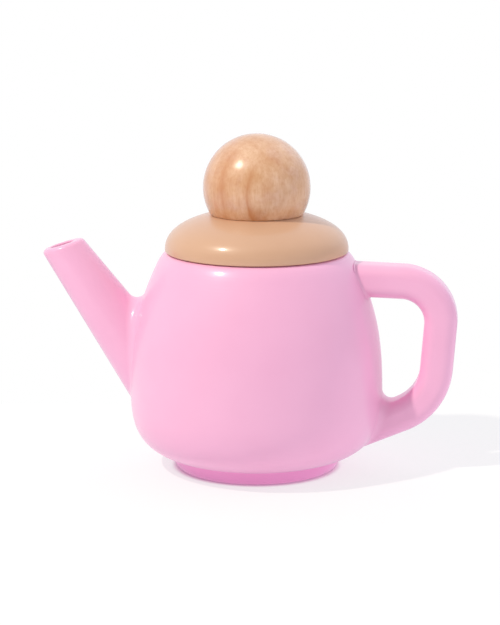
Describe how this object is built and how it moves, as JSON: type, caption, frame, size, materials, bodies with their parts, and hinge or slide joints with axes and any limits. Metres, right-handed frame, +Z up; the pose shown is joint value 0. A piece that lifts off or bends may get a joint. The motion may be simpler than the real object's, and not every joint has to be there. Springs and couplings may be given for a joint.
{
  "type": "toy teapot",
  "caption": "Play teapot of painted turned wood, with a straight tapering spout, a D-shaped handle, a low foot and a lift-off domed lid with a round bare-wood knob.",
  "frame": {"origin": "where the pot's axis meets the table, in the middle of the flat underside of the foot", "axes": "+Z up along the pot's axis, +X toward the handle, -X toward the spout, +Y across the teapot"},
  "size_m": [0.1593, 0.0964, 0.1281],
  "materials": {
    "pot_lacquer": "gloss pink lacquer on turned wood",
    "foot_lacquer": "gloss deep pink lacquer on turned wood",
    "lid_paint": "satin beige paint on turned wood",
    "knob_wood": "clear gloss lacquer on bare wood with fine grain",
    "dowel_wood": "bare beech dowel"
  },
  "bodies": {
    "pot": {"pot_body": "pot_lacquer", "foot_disc": "foot_lacquer", "spout": "pot_lacquer", "spout_dowel": "dowel_wood", "handle": "pot_lacquer", "handle_dowel_upper": "dowel_wood", "handle_dowel_lower": "dowel_wood"},
    "lid": {"lid": "lid_paint", "lid_spigot": "lid_paint", "knob": "knob_wood", "knob_dowel": "dowel_wood"}
  },
  "joints": [
    {"name": "lid_lift", "type": "slide", "parent": "pot", "child": "lid", "axis": [0, 0, 1], "range_m": [0, 0.06]}
  ]
}
